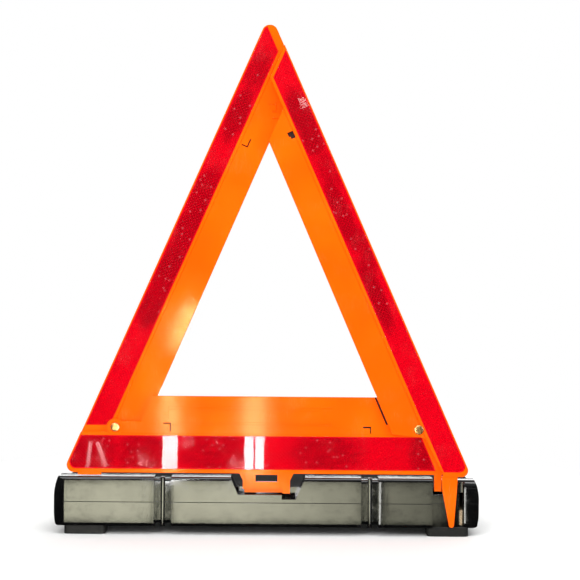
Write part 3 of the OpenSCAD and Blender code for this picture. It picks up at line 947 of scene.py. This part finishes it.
def glossy_card(name, x_range, z_range, y, material, lean=0.0):
    """An upright card that only the gloss shows, hung where the front faces mirror it.

    x_range and z_range are where on the object its reflection is to lie, seen from
    the front, and lean turns it about Y."""
    reach = (FACE_Y - y) / (FACE_Y - CAMERA_AT.y)
    low, high = (
        [
            a + (a - c) * reach
            for a, c in ((x_range[end], CAMERA_AT.x), (z_range[end], CAMERA_AT.z))
        ]
        for end in (0, 1)
    )
    middle = ((low[0] + high[0]) / 2, y, (low[1] + high[1]) / 2)
    matrix = (
        Matrix.Translation(middle)
        @ Matrix.Rotation(lean, 4, "Y")
        @ Matrix.Rotation(math.pi / 2, 4, "X")
        @ Matrix.Diagonal((high[0] - low[0], high[1] - low[1], 1, 1))
    )
    gloss_only(sheet_of(name, matrix, material))


WINDOW = glow("window_glow", (1.0, 1.0, 1.0), 36.0)
FAINT = glow("faint_glow", (1.0, 0.97, 0.95), 9.0)
BRIGHT = glow("bright_glow", (1.0, 1.0, 0.95), 240.0)
LINE = glow("line_glow", (1.0, 1.0, 0.95), 12.0)
BENCH = glow("bench_glow", (1.0, 0.985, 0.73), 8.5, mottled=True)
EDGE = glow("edge_glow", (1.0, 1.0, 1.0), 4.0)

BENCH_Y = FACE_Y - 0.3
LINE_Y = FACE_Y - 0.02
WINDOW_Y = FACE_Y - 0.35

# reflections on the base, in mm: left edge, right edge and top
BENCH_CARDS = (
    (-223.0, -121.5, 59.5),
    (-113.0, -111.0, 60.5),
    (-102.0, 105.0, 59.5),
    (112.8, 114.6, 60.5),
    (122.2, 123.8, 60.5),
    (128.0, 180.0, 59.5),
    (183.7, 193.5, 42.0),
    (215.2, 217.2, 59.5),
)
BENCH_FOOT = 13.5  # their lower edge, in mm
LINE_WIDTH = 5  # cards no wider than this, in mm, are thin lines close to the base

# glare on the orange and red, in metres: name, across, up, glow and lean
WINDOW_UP = (0.06, 0.155)
GLARE_CARDS = (
    ("window_a", (-0.1135, -0.0975), WINDOW_UP, WINDOW, 0.0),
    ("window_b", (-0.0245, -0.0145), WINDOW_UP, WINDOW, 0.0),
    ("window_c", (-0.0125, -0.0025), WINDOW_UP, WINDOW, 0.0),
    ("streak_a", (-0.196, -0.192), (0.072, 0.1), FAINT, 0.1),
    ("streak_b", (-0.182, -0.177), (0.072, 0.1), FAINT, -0.35),
    ("streak_c", (-0.0925, -0.0895), (0.2, 0.252), BRIGHT, 0.4),
    ("spot_d", (0.033, 0.04), (0.463, 0.475), FAINT, -0.4),
)

for number, (left, right, top) in enumerate(BENCH_CARDS):
    card_y, glow_used = (BENCH_Y, BENCH) if right - left > LINE_WIDTH else (LINE_Y, LINE)
    glossy_card(
        f"bench_card_{number}",
        (left * MM, right * MM),
        (BENCH_FOOT * MM, top * MM),
        card_y,
        glow_used,
    )
for name, across, up, glow_used, lean in GLARE_CARDS:
    glossy_card(name, across, up, WINDOW_Y, glow_used, lean)

# an upright card behind the triangle, mirrored by the top of the base's rail
RAIL_CARD_AT = (0, 0.09, 0.1135)
RAIL_CARD_SIZE = (0.6, 0.05)
rail_card = sheet_of(
    "rail_card",
    Matrix.Translation(RAIL_CARD_AT)
    @ Matrix.Rotation(math.pi / 2, 4, "X")
    @ Matrix.Diagonal((*RAIL_CARD_SIZE, 1, 1)),
    EDGE,
)
gloss_only(rail_card)


def soft_box(name, place, aim, width, height, power, colour):
    """A rectangular lamp at a place, turned to its aim; power in watts."""
    data = bpy.data.lights.new(name, "AREA")
    data.shape = "RECTANGLE"
    data.size, data.size_y = width, height
    data.energy = power
    data.color = colour
    box = placed(name, data)
    box.location = place
    facing = Vector(aim) - Vector(place)
    box.rotation_euler = facing.to_track_quat("-Z", "Y").to_euler()
    box.visible_camera = False


for name, place, aim, width, height, power, colour in (
    ("key", (-1.3, -2.4, 1.9), (0, 0, 0.25), 1.3, 1.0, 34, (1, 1, 1)),
    ("overhead", (0.1, -0.7, 1.7), (0, 0, 0.1), 1.5, 0.5, 13, (1, 1, 1)),
    ("right_fill", (2.0, -1.2, 0.7), (0.1, 0, 0.2), 0.35, 1.0, 12, (0.93, 0.96, 1.0)),
    ("back_fill", (0.6, 2.4, 1.6), (0, 0, 0.2), 1.4, 1.0, 30, (1, 1, 1)),
):
    soft_box(name, place, aim, width, height, power, colour)

# the world: white to the camera, plain to matt faces, brighter overhead to glossy ones
world = bpy.data.worlds.new("studio")
bpy.context.scene.world = world
tree = emptied(world)
ray = put(tree, "LightPath").outputs
sky = put(tree, "TexCoord").outputs["Generated"]
height = put(tree, "SeparateXYZ", {0: sky}).outputs[2]
mirrored = spread(tree, height, 0.1, 0.8, 0.02, 0.45)
plain, gloss, white = (
    put(tree, "Background", {"Color": WHITE, "Strength": strength}).outputs[0]
    for strength in (0.7, mirrored, 1.0)
)
first = put(tree, "MixShader", {0: ray["Is Glossy Ray"], 1: plain, 2: gloss})
second = put(tree, "MixShader", {0: ray["Is Camera Ray"], 1: first.outputs[0], 2: white})
put(tree, "OutputWorld", {0: second.outputs[0]})

camera = bpy.data.cameras.new("camera")
camera.sensor_width = SENSOR
camera.lens = SENSOR * (FACE_Y - CAMERA_AT.y) / FRAME_WIDTH
camera.clip_end = CLIP_END
holder = placed("camera", camera)
holder.matrix_world = (
    Matrix.Translation(CAMERA_AT)
    @ Matrix.Rotation(math.pi / 2, 4, "X")
    @ Matrix.Rotation(ROLL, 4, "Z")
)
bpy.context.scene.camera = holder
bpy.context.scene.view_settings.view_transform = "Standard"
bpy.context.scene.view_settings.look = "None"
